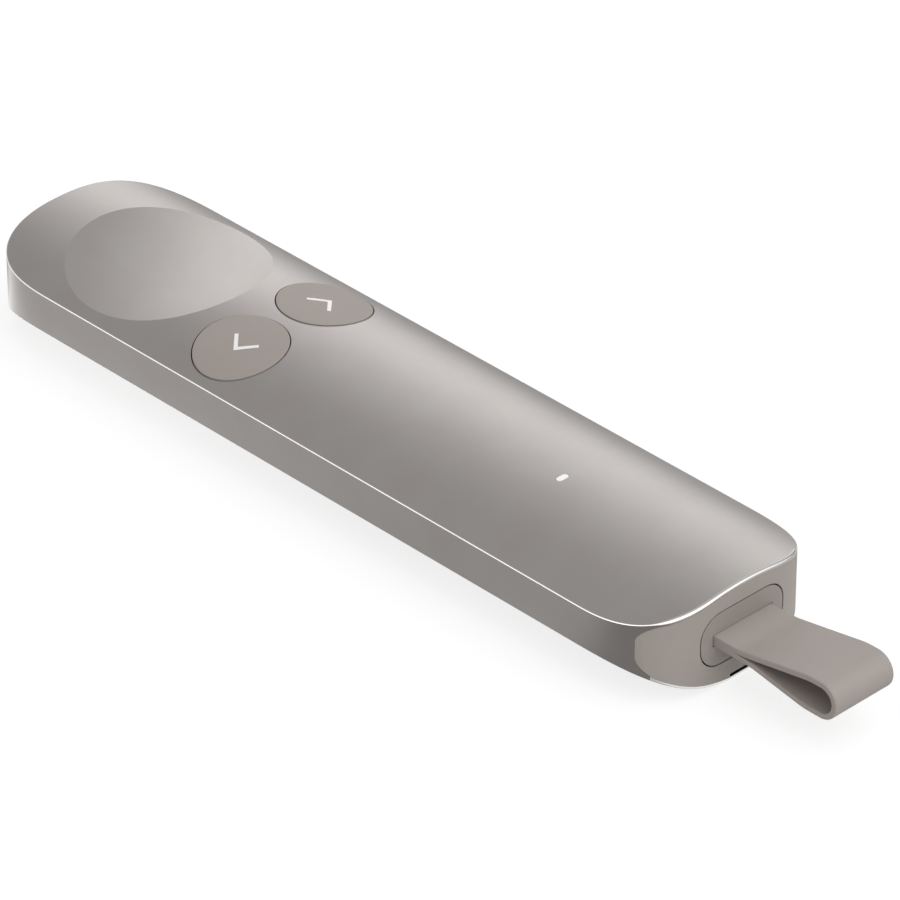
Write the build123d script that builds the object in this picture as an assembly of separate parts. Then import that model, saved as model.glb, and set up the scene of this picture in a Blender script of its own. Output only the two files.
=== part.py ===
from build123d import *
from math import atan2, cos, radians, sin, sqrt
import os

# A hand-held wireless presentation clicker: an aluminium unibody closed at the tail by a plastic cap,
# with two round keys, a thumb dish, a status light, and a USB receiver on a pull strap in the tail.
# Millimetres. +Y runs to the head, +Z is up, and the origin is the middle of the flat under the belly.

# Housing outside
body_length = 116.0
body_width = 28.1
belly_height = 4.7        # rest flat to the lower edge of the side wall
wall_height = 5.2         # straight part of the side wall
crown_height = 2.85       # rise of the top over the side wall
rest_half_width = 2.1     # half of the flat strip under the belly
belly_knee = 1.54         # height of the belly half way between the flat and the side wall
head_corner_y = 14.4      # how far the rounded head reaches along the body
head_corner_power = 3.2
tail_corner_x = 9.9
tail_corner_y = 12.7
tail_corner_power = 2.6
rim_chamfer = 0.2         # bright cut round the top

# Housing inside
wall = 1.2
seam = 0.05               # fixed joints between the housing and what is bonded into it

# Tail cap
cap_thickness = 1.3
cap_depth = 5.5           # how far the cap's ends wrap round the tail corners
cap_side = 1.37           # housing left beside the cap
cap_top_margin = 0.45     # housing left over the cap
cap_bottom_margin = 0.28
cap_top_radius = 2.6
cap_bottom_radius = 3.4
cap_slot_width = 2.85     # narrow slot low in the cap
cap_slot_height = 0.4
cap_slot_x = -0.45
cap_slot_sill = 0.17      # cap left under the slot
arm_length = 9.0          # snap arms that hold the cap on the receiver bay
arm_thickness = 0.8
arm_height = 2.4
arm_gap = 0.15
barb_length = 1.4
catch_proud = 0.5
catch_length = 1.2

# Thumb dish
dish_from_head = 19.8     # from the head to the middle of the dish
dish_radius = 12.7
dish_depth = 1.25

# Keys
key_x = 6.75
key_from_head = 40.1
key_radius = 5.82
key_gap = 0.14
key_proud = 0.12          # keys stand this far over the crown
key_rounding = 0.12
key_travel = 0.3
key_skirt = 1.2           # thickness of a key at its lowest outer edge
key_under_gap = 0.2       # room left under a pressed key
tab_half_width = 1.8
tab_reach = 1.05
tab_gap = 0.1
stem_radius = 1.2
stem_height = 0.25
chevron_half_height = 2.12
chevron_depth = 2.45
chevron_stroke = 0.46
chevron_thickness = 0.25
chevron_proud = 0.02

# Switches and their board
board_thickness = 0.8
key_board_half_width = 11.0
key_board_length = 16.6
switch_size = 4.5
switch_height = 1.0
plunger_radius = 0.95
plunger_height = 0.75
plunger_slack = 0.15      # plunger still standing out of its switch when pressed
well_radius = 1.15
well_floor = 0.12
dome_radius = 1.05
dome_thickness = 0.05

# Status light
light_from_tail = 28.8
light_length = 1.7
light_width = 0.85
light_foot_length = 2.8
light_foot_width = 1.9
light_foot_height = 0.8
led_length = 1.6
led_width = 0.8
led_height = 0.6
led_gap = 0.2

# Frame, main board and screws
frame_thickness = 1.2
frame_clear = 0.12
frame_gap = 0.2           # between the frame and the end of the receiver bay
prong_length = 3.5
board_margin = 0.4        # main board beside the battery
main_board_overlap = 1.8  # main board under the key board
board_edge = 1.6          # screws to the edge of their board
post_radius = 1.3
screw_head_radius = 0.9
screw_head_height = 0.5
screw_slot = 0.2
screw_radius = 0.5
screw_clear = 0.04
screw_reach = 0.9

# Battery
battery_width = 13.6
battery_height = 4.0
battery_gap = 1.5         # room at each end of the cell
pad_thickness = 0.3
pad_margin = 1.0
strip_thickness = 0.15
strip_width = 2.0
strip_x = 3.0
strip_foot = 0.9

# Parts soldered on the main board
can_gap = 1.7             # status LED to the shield can
can_size = 7.8
can_height = 1.6
can_wall = 0.2
chip_size = 5.0
chip_height = 0.8
antenna_x = 5.9
antenna_edge = 0.7        # antenna to the board's end
antenna_width = 1.6
antenna_length = 3.2
antenna_height = 0.6
power_x = -5.2
power_size = 2.4
power_height = 0.7

# Haptic motor and pointer sensor under the dish
motor_radius = 5.0
motor_height = 3.0
motor_rounding = 0.3
cradle_wall = 1.0
cradle_clear = 0.1
cradle_height = 1.4
boss_radius = 7.4
boss_depth = 0.45         # flat boss below the lowest point of the dish's back
sensor_radius = 7.0
sensor_thickness = 0.5
sensor_gap = 0.1
flex_thickness = 0.15
flex_half_width = 1.5
flex_foot = 1.8

# Receiver: a standard USB type A plug in a moulded body
receiver_width = 13.1
receiver_height = 6.87
receiver_corner = 2.9
receiver_depth = 5.0
receiver_sink = 0.71      # receiver centre below the middle of the side wall
receiver_gap = 0.15
plug_width = 12.0
plug_height = 4.5
plug_length = 12.0
plug_corner = 0.6
plug_wall = 0.3
plug_seat = 0.9           # part of the shell held inside the body
window_width = 2.5
window_length = 2.0
window_x = 2.9
window_from_tip = 5.2
carrier_height = 1.3
carrier_setback = 0.4
receiver_board_thickness = 0.6
receiver_chip_size = 3.2
receiver_chip_height = 0.8
receiver_chip_y = 3.2     # from the body to the middle of the chip
contact_width = 1.0
contact_length = 6.5
contact_height = 0.1
contact_x = (-3.5, -1.0, 1.0, 3.5)
fit = 0.03

# Strap
strap_width = 9.4
strap_thickness = 0.72
strap_ply_gap = 0.06
strap_reach = 18.7        # from the tail face to the end of the loop
strap_offset = 0.1        # strap slot above the middle of the receiver
strap_rise = 2.43         # middle of the upper ply over the middle of the receiver
strap_sag = 1.67
strap_knee_top = 3.9      # from the tail face to the upper ply's first bend
strap_knee_bottom = 5.5
strap_crest = 3.75        # from the end of the loop to the upper ply's last bend
strap_trough = 4.55
strap_knee_radius = 9.0
strap_root = 3.2          # slot depth in the receiver
slot_side = 0.12
slot_over = 0.06
pin_radius = 0.45
pin_x = 3.0
pin_y = 1.7
pin_bite = 0.9            # pin past each face of the slot

# Receiver bay and charging socket
bay_wall = 0.8
bay_end_gap = 0.8         # plug tip to the end of the bay
bay_cap_gap = 0.1
lug_width = 2.9
lug_height = 1.2
lug_overlap = 2.2
lug_clear = 0.15
port_width = 8.94
port_height = 3.26
port_length = 7.3
port_wall = 0.3
port_gap = 0.7            # end of the bay to the socket's mouth
port_clear = 0.1
port_overhang = 0.4
port_back = 1.5
port_rounding = 0.45      # corner radius as a share of the socket's height
tongue_width = 6.7
tongue_thickness = 0.7
tongue_setback = 0.6

# Worked-out places
half_width = body_width / 2
half_length = body_length / 2
tail_y = -half_length
dish_y = half_length - dish_from_head
key_y = half_length - key_from_head
light_y = tail_y + light_from_tail
wall_top = belly_height + wall_height
total_height = wall_top + crown_height
crown_radius = (half_width**2 + crown_height**2) / (2 * crown_height)
crown_centre = total_height - crown_radius
receiver_z = belly_height + wall_height / 2 - receiver_sink
body_end = tail_y + receiver_depth
plug_tip = body_end + plug_length
bay_end = plug_tip + bay_end_gap
bay_head = bay_end + bay_wall
bay_half_width = receiver_width / 2 + receiver_gap + bay_wall
port_y = bay_end + port_gap
board_top = receiver_z - port_height / 2
frame_top = board_top - board_thickness
frame_low = frame_top - frame_thickness
frame_tail_y = bay_head + frame_gap
main_board_tail_y = port_y + port_overhang
main_board_half_width = battery_width / 2 + board_margin
lug_x = main_board_half_width + lug_clear
strap_z = receiver_z + strap_offset
ply_offset = (strap_thickness + strap_ply_gap) / 2
slot_height = 2 * strap_thickness + strap_ply_gap + 2 * slot_over
span = 2 * body_length    # longer than anything that is cut


def crown_z(x, drop=0.0):
    """Height of the crown, or of a surface that lies drop below it."""
    return crown_centre + sqrt((crown_radius - drop) ** 2 - x**2)


def belly_z(x):
    """Height of the belly: an arc from the edge of the flat, through the knee, to the foot of the wall."""
    x1, z1 = rest_half_width, 0.0
    x2, z2 = (rest_half_width + half_width) / 2, belly_knee
    x3, z3 = half_width, belly_height
    s1, s2, s3 = x1**2 + z1**2, x2**2 + z2**2, x3**2 + z3**2
    d = 2 * (x1 * (z2 - z3) + x2 * (z3 - z1) + x3 * (z1 - z2))
    cx = (s1 * (z2 - z3) + s2 * (z3 - z1) + s3 * (z1 - z2)) / d
    cz = (s1 * (x3 - x2) + s2 * (x1 - x3) + s3 * (x2 - x1)) / d
    radius = sqrt((x1 - cx) ** 2 + (z1 - cz) ** 2)
    return cz - sqrt(radius**2 - (x - cx) ** 2)


key_bottom = crown_z(key_x + key_radius) - key_skirt
plunger_top = key_bottom - stem_height
plunger_low = plunger_top - plunger_height
switch_top = plunger_top - key_travel - plunger_slack
key_board_top = switch_top - switch_height
key_board_low = key_board_top - board_thickness
key_board_y = (key_y - key_board_length / 2, key_y + key_board_length / 2)
boss_z = total_height - dish_depth - wall - boss_depth
sensor_top = boss_z - sensor_gap
sensor_low = sensor_top - sensor_thickness
can_y = light_y + led_width / 2 + can_gap + can_size / 2
antenna_y = main_board_tail_y + antenna_edge + antenna_length / 2
main_board_head_y = key_board_y[0] + main_board_overlap
battery_low = board_top + pad_thickness
battery_tail = can_y + can_size / 2 + battery_gap
battery_head = key_board_y[0] - battery_gap
carrier_low = receiver_z - plug_height / 2 + plug_wall + fit
carrier_top = carrier_low + carrier_height
carrier_half = plug_width / 2 - plug_wall - plug_corner / 2
receiver_board_top = carrier_top + receiver_board_thickness


def both_sides(x, *ys):
    return [(side * x, y) for side in (-1, 1) for y in ys]


key_board_ends = (key_board_y[0] + board_edge, key_board_y[1] - board_edge)
key_board_points = both_sides(key_board_half_width - board_edge, *key_board_ends)
main_board_points = both_sides(main_board_half_width - board_edge, can_y, main_board_head_y - board_edge)
bay_points = both_sides(lug_x + lug_width / 2, frame_tail_y + lug_overlap / 2)


def box(x0, x1, y0, y1, z0, z1):
    return Pos((x0 + x1) / 2, (y0 + y1) / 2, (z0 + z1) / 2) * Box(x1 - x0, y1 - y0, z1 - z0)


def post(x, y, radius, z0, z1):
    return Pos(x, y, (z0 + z1) / 2) * Cylinder(radius, z1 - z0)


def mirrored(shape):
    return shape.mirror(Plane.YZ)


def superellipse(cx, cy, rx, ry, power, steps=9):
    """Points of a rounded corner, from where it leaves the side to where it meets the end."""
    angles = [radians(90 * i / (steps - 1)) for i in range(steps)]
    return [(cx + rx * max(cos(a), 0) ** (2 / power), cy + ry * sin(a) ** (2 / power)) for a in angles]


def corner(points):
    along = 1 if points[-1][1] > points[0][1] else -1
    return Spline(*points, tangents=[(0, along), (-1, 0)])


def outline(inset=0.0):
    """Plan of the body, drawn in by inset on every side."""
    w = half_width - inset
    tx = tail_corner_x - inset
    head = superellipse(0, half_length - head_corner_y, w, head_corner_y - inset, head_corner_power)
    tail = superellipse(w - tx, tail_corner_y - half_length, tx, inset - tail_corner_y, tail_corner_power)
    right = [Line(tail[0], head[0]), corner(head), corner(tail)]
    foot = Line(tail[-1], (-tail[-1][0], tail[-1][1]))
    return Face(Wire(right + [mirrored(edge) for edge in right] + [foot]))


def plan_prism(inset=0.0):
    return extrude(Pos(0, 0, -1) * outline(inset), amount=total_height + 2, dir=(0, 0, 1))


def profile(side, drop=0.0, rise=0.0):
    """Cross-section in the XZ plane, drop below the crown and rise above the belly."""
    top, low = crown_z(side, drop), belly_z(side) + rise
    knee = (rest_half_width + side) / 2
    flat = Line((-rest_half_width, 0, rise), (rest_half_width, 0, rise))
    belly = ThreePointArc((rest_half_width, 0, rise), (knee, 0, belly_z(knee) + rise), (side, 0, low))
    upright = Line((side, 0, low), (side, 0, top))
    crown = ThreePointArc((side, 0, top), (0, 0, crown_z(0, drop)), (-side, 0, top))
    return Face(Wire([flat, belly, upright, crown, mirrored(upright), mirrored(belly)]))


def along_y(face, y0=-span, y1=span):
    return extrude(Pos(0, y0, 0) * face, amount=y1 - y0, dir=(0, 1, 0))


def bar(width, height, radius, y0, y1, z):
    """A bar with rounded long edges, lying along Y."""
    plane = Plane(origin=(0, y0, z), x_dir=(1, 0, 0), z_dir=(0, 1, 0))
    return extrude(plane * RectangleRounded(width, height, radius), amount=y1 - y0)


def pill(length, width, y, z0, z1):
    return extrude(Pos(0, y, z0) * SlotOverall(length, width), amount=z1 - z0)


def crown_slab(drop=0.0):
    """Everything under the crown, or under a surface drop below it."""
    return along_y(profile(half_width, drop))


def outer_body():
    shape = plan_prism() & along_y(profile(half_width))
    return chamfer([e for e in shape.edges() if e.center().Z > wall_top - seam], rim_chamfer)


def dish_cutter(drop=0.0):
    """A spindle across the body, which meets the crown in a circle seen from above."""
    along = dish_radius**2 / (2 * dish_depth)
    across = 1 / (1 / crown_radius - 1 / along)
    low = total_height - dish_depth - drop
    axis_z = total_height - dish_depth + along
    reach = half_width
    edge = low - across + sqrt(across**2 - reach**2)
    arc = ThreePointArc((-reach, dish_y, edge), (0, dish_y, low), (reach, dish_y, edge))
    sides = [
        Line((reach, dish_y, edge), (reach, dish_y, axis_z)),
        Line((reach, dish_y, axis_z), (-reach, dish_y, axis_z)),
        Line((-reach, dish_y, axis_z), (-reach, dish_y, edge)),
    ]
    return revolve(Face(Wire([arc] + sides)), Axis((0, dish_y, axis_z), (1, 0, 0)), 360)


def cavity(clear=0.0):
    """Room inside the housing, drawn in by clear."""
    inset = wall + clear
    room = plan_prism(inset) & along_y(profile(half_width - inset, inset, inset))
    return room - dish_cutter(inset)


def cap_bar(grow=0.0):
    """The tail cap's outline drawn out along Y. With grow it is the opening that the cap sits in."""
    side = half_width - cap_side + grow
    shape = along_y(profile(side, cap_top_margin - grow, cap_bottom_margin - grow))
    for top, radius in ((True, cap_top_radius), (False, cap_bottom_radius)):
        edges = [e for e in shape.edges().filter_by(Axis.Y) if abs(e.center().X) > side - seam]
        shape = fillet([e for e in edges if (e.center().Z > receiver_z) == top], radius)
    return shape


def cap_shell(grow=0.0):
    """The cap's own layer of the tail: a bent plate as thick as the cap."""
    front = box(-span, span, -span, tail_y + cap_depth + grow, -span, span)
    return (cap_bar(grow) & front) - plan_prism(cap_thickness + grow)


def housing():
    shape = outer_body() - dish_cutter() - cavity()
    shape += (post(0, dish_y, boss_radius, boss_z, total_height) & crown_slab()) - dish_cutter()
    for x in (-key_x, key_x):
        shape -= post(x, key_y, key_radius + key_gap, key_bottom - key_travel - key_under_gap, span)
    shape -= pill(light_length + 2 * seam, light_width + 2 * seam, light_y, board_top, span)
    return shape - cap_shell(seam)


def tail_cap():
    shape = cap_shell() & plan_prism()
    width, height = receiver_width + 2 * receiver_gap, receiver_height + 2 * receiver_gap
    shape -= bar(width, height, receiver_corner + receiver_gap, -span, span, receiver_z)
    x, z = cap_slot_x - cap_slot_width / 2, cap_bottom_margin + cap_slot_sill
    shape -= box(x, x + cap_slot_width, -span, tail_y + cap_depth, z, z + cap_slot_height)
    x0 = bay_half_width + catch_proud + arm_gap
    x1 = x0 + arm_thickness
    y0 = tail_y + cap_thickness
    y1 = y0 + arm_length
    z0, z1 = receiver_z - arm_height / 2, receiver_z + arm_height / 2
    arm = box(x0, x1, y0, y1, z0, z1) + box(bay_half_width + arm_gap, x1, y1 - barb_length, y1, z0, z1)
    return shape + arm + mirrored(arm)


def chevron_prism(x, point):
    """Two square-ended strokes that meet in a point towards -X or +X."""
    slope = atan2(chevron_half_height, chevron_depth)
    dx, dy = chevron_stroke * sin(slope), chevron_stroke * cos(slope)
    end = (chevron_depth - dx, chevron_half_height)
    inner_end = (chevron_depth, chevron_half_height - dy)
    inner_point = (chevron_stroke / sin(slope), 0)
    corners = [(0, 0), end, inner_end, inner_point, (inner_end[0], -inner_end[1]), (end[0], -end[1])]
    points = [(x - point * (px - chevron_depth / 2), key_y + py) for px, py in corners]
    face = Face(Wire(Polyline(*points, close=True).edges()))
    return extrude(Pos(0, 0, key_bottom) * face, amount=span, dir=(0, 0, 1))


def key_tabs(x):
    top = crown_z(abs(x) + tab_half_width, wall) - tab_gap
    reach = key_radius + tab_reach
    return box(x - tab_half_width, x + tab_half_width, key_y - reach, key_y + reach, key_bottom, top)


def button(x, point):
    shape = post(x, key_y, key_radius, key_bottom, span) & crown_slab(-key_proud)
    shape = fillet(shape.faces().sort_by(Axis.Z)[-1].edges(), key_rounding)
    shape += key_tabs(x)
    shape += post(x, key_y, stem_radius, plunger_top, key_bottom + stem_height)
    return shape - (chevron_prism(x, point) - crown_slab(chevron_thickness - key_proud))


def chevron(x, point):
    top = crown_slab(-key_proud - chevron_proud)
    return (chevron_prism(x, point) & top) - crown_slab(chevron_thickness - key_proud)


def plunger(x):
    return post(x, key_y, plunger_radius, plunger_low, plunger_top)


def switch_case(x):
    half = switch_size / 2
    shape = box(x - half, x + half, key_y - half, key_y + half, key_board_top, switch_top)
    return shape - post(x, key_y, well_radius, key_board_top + well_floor, span)


def snap_dome(x):
    """A shallow spherical shell on the floor of the switch's well."""
    floor = key_board_top + well_floor
    rise = plunger_low - key_travel - floor - 2 * dome_thickness
    radius = (dome_radius**2 + rise**2) / (2 * rise)
    centre = Pos(x, key_y, floor + rise - radius)
    shell = centre * Sphere(radius + dome_thickness) - centre * Sphere(radius)
    return shell & post(x, key_y, dome_radius, floor, floor + rise + dome_thickness)


def screw(x, y, seat):
    """A pan head screw whose head lies on seat."""
    head = post(x, y, screw_head_radius, seat, seat + screw_head_height)
    slot = box(x - span, x + span, y - screw_slot / 2, y + screw_slot / 2, seat + screw_head_height / 2, span)
    return head - slot + post(x, y, screw_radius, seat - board_thickness - screw_reach, seat)


def drilled(shape, points):
    for x, y in points:
        shape -= post(x, y, screw_radius + screw_clear, -span, span)
    return shape


def inner_frame():
    shape = box(-half_width, half_width, frame_tail_y, half_length, frame_low, frame_top)
    side = bay_half_width + arm_gap
    prong = box(side, half_width, frame_tail_y - prong_length, frame_tail_y, frame_low, frame_top)
    shape += prong + mirrored(prong)
    for x, y in key_board_points:
        shape += post(x, y, post_radius, frame_low, key_board_low)
    shape &= cavity(frame_clear)
    inner = motor_radius + cradle_clear
    cradle_top = frame_top + cradle_height
    cradle = post(0, dish_y, inner + cradle_wall, frame_top, cradle_top)
    shape += cradle - post(0, dish_y, inner, frame_top, cradle_top)
    return drilled(shape, key_board_points + main_board_points + bay_points)


def main_board():
    half = main_board_half_width
    shape = box(-half, half, main_board_tail_y, main_board_head_y, frame_top, board_top)
    return drilled(shape, main_board_points)


def key_board():
    half = key_board_half_width
    return drilled(box(-half, half, *key_board_y, key_board_low, key_board_top), key_board_points)


def light_pipe():
    foot_top = crown_z(light_foot_length / 2, wall) - seam
    shaft = pill(light_length, light_width, light_y, board_top + led_height + led_gap, span) & crown_slab()
    return shaft + pill(light_foot_length, light_foot_width, light_y, foot_top - light_foot_height, foot_top)


def status_led():
    x, y = led_length / 2, led_width / 2
    return box(-x, x, light_y - y, light_y + y, board_top, board_top + led_height)


def battery():
    half = battery_width / 2
    shape = box(-half, half, battery_tail, battery_head, battery_low, battery_low + battery_height)
    return fillet(shape.edges().filter_by(Axis.Y), battery_height / 4)


def battery_pad():
    half = battery_width / 2 - pad_margin
    return box(-half, half, battery_tail + pad_margin, battery_head - pad_margin, board_top, battery_low)


def battery_tab(x):
    """A nickel strip bent from the end of the cell down to the board."""
    x0, x1 = x - strip_width / 2, x + strip_width / 2
    y0 = battery_tail - strip_thickness
    riser = box(x0, x1, y0, battery_tail, board_top, battery_low + battery_height / 2)
    return riser + box(x0, x1, battery_tail - strip_foot, y0, board_top, board_top + strip_thickness)


def shield_can():
    half, inner = can_size / 2, can_size / 2 - can_wall
    top = board_top + can_height
    shape = box(-half, half, can_y - half, can_y + half, board_top, top)
    return shape - box(-inner, inner, can_y - inner, can_y + inner, board_top, top - can_wall)


def chip(x, y, width, length, height):
    return box(x - width / 2, x + width / 2, y - length / 2, y + length / 2, board_top, board_top + height)


def link_flex():
    """A flexible print from the main board up to the underside of the key board."""
    half, t = flex_half_width, flex_thickness
    riser = key_board_y[0] + flex_foot / 2
    shape = box(-half, half, riser - flex_foot, riser, board_top, board_top + t)
    shape += box(-half, half, riser - t, riser, board_top, key_board_low)
    return shape + box(-half, half, riser - t, riser + flex_foot, key_board_low - t, key_board_low)


def sensor_flex():
    """A flexible print from under the pointer sensor down to the key board."""
    half, t = flex_half_width, flex_thickness
    riser = dish_y - sensor_radius
    shape = box(-half, half, riser, riser + flex_foot, sensor_low - t, sensor_low)
    shape += box(-half, half, riser, riser + t, key_board_top, sensor_low)
    return shape + box(-half, half, key_board_y[1] - flex_foot, riser + t, key_board_top, key_board_top + t)


def pointer_sensor():
    return post(0, dish_y, sensor_radius, sensor_low, sensor_top)


def haptic_motor():
    shape = post(0, dish_y, motor_radius, frame_top, frame_top + motor_height)
    return fillet(shape.edges().filter_by(GeomType.CIRCLE).sort_by(Axis.Z)[-1:], motor_rounding)


def receiver_bay():
    width, height = receiver_width + 2 * receiver_gap, receiver_height + 2 * receiver_gap
    radius = receiver_corner + receiver_gap
    shape = bar(width + 2 * bay_wall, height + 2 * bay_wall, radius + bay_wall, tail_y, bay_head, receiver_z)
    side = bay_half_width - bay_wall
    lug_end = lug_x + lug_width
    lug_top = frame_top + lug_height
    lug = box(side, lug_end, frame_tail_y - prong_length, bay_head, frame_top, lug_top)
    lug += box(lug_x, lug_end, bay_head, frame_tail_y + lug_overlap, frame_top, lug_top)
    catch_y = tail_y + cap_thickness + arm_length - barb_length - arm_gap
    half = arm_height / 2
    proud = bay_half_width + catch_proud
    catch = box(side, proud, catch_y - catch_length, catch_y, receiver_z - half, receiver_z + half)
    shape += lug + mirrored(lug) + catch + mirrored(catch)
    shape -= bar(width, height, radius, -span, bay_end, receiver_z)
    mouth = port_height + 2 * port_clear
    shape -= bar(port_width + 2 * port_clear, mouth, mouth * port_rounding, tail_y, span, receiver_z)
    return drilled(shape, bay_points) & plan_prism(cap_thickness + bay_cap_gap)


def charge_port_shell():
    y1 = port_y + port_length
    inner = port_height - 2 * port_wall
    shape = bar(port_width, port_height, port_height * port_rounding, port_y, y1, receiver_z)
    return shape - bar(port_width - 2 * port_wall, inner, inner * port_rounding, port_y, y1, receiver_z)


def charge_port_tongue():
    y1 = port_y + port_length
    width, height = (size - 2 * port_wall - fit for size in (port_width, port_height))
    block = bar(width, height, height * port_rounding, y1 - port_back, y1, receiver_z)
    x, z = tongue_width / 2, tongue_thickness / 2
    return block + box(-x, x, port_y + tongue_setback, y1, receiver_z - z, receiver_z + z)


def pins(radius):
    half = slot_height / 2 + pin_bite
    return [post(x, tail_y + pin_y, radius, strap_z - half, strap_z + half) for x in (-pin_x, pin_x)]


def receiver_body():
    shape = bar(receiver_width, receiver_height, receiver_corner, -span, body_end, receiver_z) & plan_prism()
    x, z = strap_width / 2 + slot_side, slot_height / 2
    shape -= box(-x, x, -span, tail_y + strap_root, strap_z - z, strap_z + z)
    seat = body_end - plug_seat - fit
    shape -= bar(plug_width + 2 * fit, plug_height + 2 * fit, plug_corner + fit, seat, span, receiver_z)
    for hole in pins(pin_radius + fit):
        shape -= hole
    return shape


def receiver_shell():
    y0 = body_end - plug_seat
    shape = bar(plug_width, plug_height, plug_corner, y0, plug_tip, receiver_z)
    width, height = plug_width - 2 * plug_wall, plug_height - 2 * plug_wall
    shape -= bar(width, height, plug_corner - plug_wall, -span, span, receiver_z)
    y = plug_tip - window_from_tip
    for x in (-window_x, window_x):
        shape -= box(x - window_width / 2, x + window_width / 2, y - window_length, y, -span, span)
    return shape


def receiver_chip(clear=0.0):
    half = receiver_chip_size / 2 + clear
    y = body_end + receiver_chip_y
    return box(-half, half, y - half, y + half, carrier_top - receiver_chip_height - clear, carrier_top)


def receiver_slab(z0, z1):
    return box(-carrier_half, carrier_half, body_end - plug_seat, plug_tip - carrier_setback, z0, z1)


def receiver_contact(x):
    y1 = plug_tip - 2 * carrier_setback
    half = contact_width / 2
    z0 = receiver_board_top
    return box(x - half, x + half, y1 - contact_length, y1, z0, z0 + contact_height)


def strap_path():
    """Middle line of the strap, from the upper ply round the loop and back to the lower ply."""
    end = tail_y - strap_reach + strap_thickness / 2
    root = tail_y + strap_root - slot_side
    high, low = receiver_z + strap_rise, receiver_z - strap_sag
    points = [
        (root, strap_z + ply_offset),
        (tail_y - strap_knee_top, strap_z + ply_offset),
        (end + strap_crest, high),
        (end, high),
        (end, low),
        (end + strap_trough, low),
        (tail_y - strap_knee_bottom, strap_z - ply_offset),
        (root, strap_z - ply_offset),
    ]
    knee = strap_knee_radius
    bend = (strap_rise + strap_sag) / 2 - seam
    return FilletPolyline(*[(0, y, z) for y, z in points], radius=[knee, knee, bend, bend, knee, knee])


def strap():
    path = strap_path()
    plane = Plane(origin=path @ 0, x_dir=(1, 0, 0), z_dir=path % 0)
    shape = sweep(plane * Rectangle(strap_width, strap_thickness), path=path)
    for hole in pins(pin_radius):
        shape -= hole
    return shape


nodes = {
    "housing": housing(),
    "tail_cap": tail_cap(),
    "light_pipe": light_pipe(),
    "back_button": button(-key_x, -1),
    "back_chevron": chevron(-key_x, -1),
    "back_plunger": plunger(-key_x),
    "next_button": button(key_x, 1),
    "next_chevron": chevron(key_x, 1),
    "next_plunger": plunger(key_x),
    "switch_cases": Compound([switch_case(-key_x), switch_case(key_x)]),
    "switch_domes": Compound([snap_dome(-key_x), snap_dome(key_x)]),
    "key_board": key_board(),
    "key_board_screws": Compound([screw(x, y, key_board_top) for x, y in key_board_points]),
    "inner_frame": inner_frame(),
    "main_board": main_board(),
    "main_board_screws": Compound([screw(x, y, board_top) for x, y in main_board_points]),
    "status_led": status_led(),
    "battery": battery(),
    "battery_pad": battery_pad(),
    "battery_tabs": Compound([battery_tab(-strip_x), battery_tab(strip_x)]),
    "shield_can": shield_can(),
    "radio_chip": chip(0, can_y, chip_size, chip_size, chip_height),
    "antenna_chip": chip(antenna_x, antenna_y, antenna_width, antenna_length, antenna_height),
    "power_chip": chip(power_x, light_y, power_size, power_size, power_height),
    "link_flex": link_flex(),
    "sensor_flex": sensor_flex(),
    "pointer_sensor": pointer_sensor(),
    "haptic_motor": haptic_motor(),
    "receiver_bay": receiver_bay(),
    "bay_screws": Compound([screw(x, y, frame_top + lug_height) for x, y in bay_points]),
    "charge_port_shell": charge_port_shell(),
    "charge_port_tongue": charge_port_tongue(),
    "receiver_body": receiver_body(),
    "receiver_shell": receiver_shell(),
    "receiver_carrier": receiver_slab(carrier_low, carrier_top) - receiver_chip(fit),
    "receiver_board": receiver_slab(carrier_top, receiver_board_top),
    "receiver_contacts": Compound([receiver_contact(x) for x in contact_x]),
    "receiver_chip": receiver_chip(),
    "strap": strap(),
    "strap_pins": Compound(pins(pin_radius)),
}

os.makedirs("parts", exist_ok=True)
for name, shape in nodes.items():
    export_step(shape, f"parts/{name}.step")
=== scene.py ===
import bmesh
import bpy
import math
from mathutils import Matrix, Vector


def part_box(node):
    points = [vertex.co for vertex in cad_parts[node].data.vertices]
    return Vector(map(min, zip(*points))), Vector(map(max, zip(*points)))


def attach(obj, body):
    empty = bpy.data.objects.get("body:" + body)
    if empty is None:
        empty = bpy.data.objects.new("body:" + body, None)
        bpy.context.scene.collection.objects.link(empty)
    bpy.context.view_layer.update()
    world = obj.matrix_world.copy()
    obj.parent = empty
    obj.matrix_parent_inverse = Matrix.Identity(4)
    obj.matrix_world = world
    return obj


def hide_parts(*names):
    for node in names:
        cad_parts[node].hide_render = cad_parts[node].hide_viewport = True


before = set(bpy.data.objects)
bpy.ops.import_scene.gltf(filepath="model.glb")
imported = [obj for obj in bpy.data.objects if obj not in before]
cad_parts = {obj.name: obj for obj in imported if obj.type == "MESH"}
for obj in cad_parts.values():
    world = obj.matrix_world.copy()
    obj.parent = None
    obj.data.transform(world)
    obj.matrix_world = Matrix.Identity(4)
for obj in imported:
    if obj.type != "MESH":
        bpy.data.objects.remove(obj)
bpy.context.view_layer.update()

mm = 0.001                                       # every size below is in millimetres
past = 2.0                                       # how far a tool runs past what it cuts
upward = Vector((0, 0, 1))


def boxOf(node):
    low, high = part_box(node)
    return low / mm, high / mm


def addNode(tree, kind, inputs=None, **settings):
    node = tree.nodes.new(kind)
    for key, value in settings.items():
        setattr(node, key, value)
    for key, value in (inputs or {}).items():
        if isinstance(value, bpy.types.Node):
            value = value.outputs[0]
        if isinstance(value, bpy.types.NodeSocket):
            tree.links.new(value, node.inputs[key])
        else:
            node.inputs[key].default_value = value
    return node


def linear(hexText):
    parts = [int(hexText[i:i + 2], 16) / 255 for i in (1, 3, 5)]
    return (*[p / 12.92 if p <= 0.04045 else ((p + 0.055) / 1.055) ** 2.4 for p in parts], 1.0)


print("frame loaded")

# Camera and studio

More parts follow.
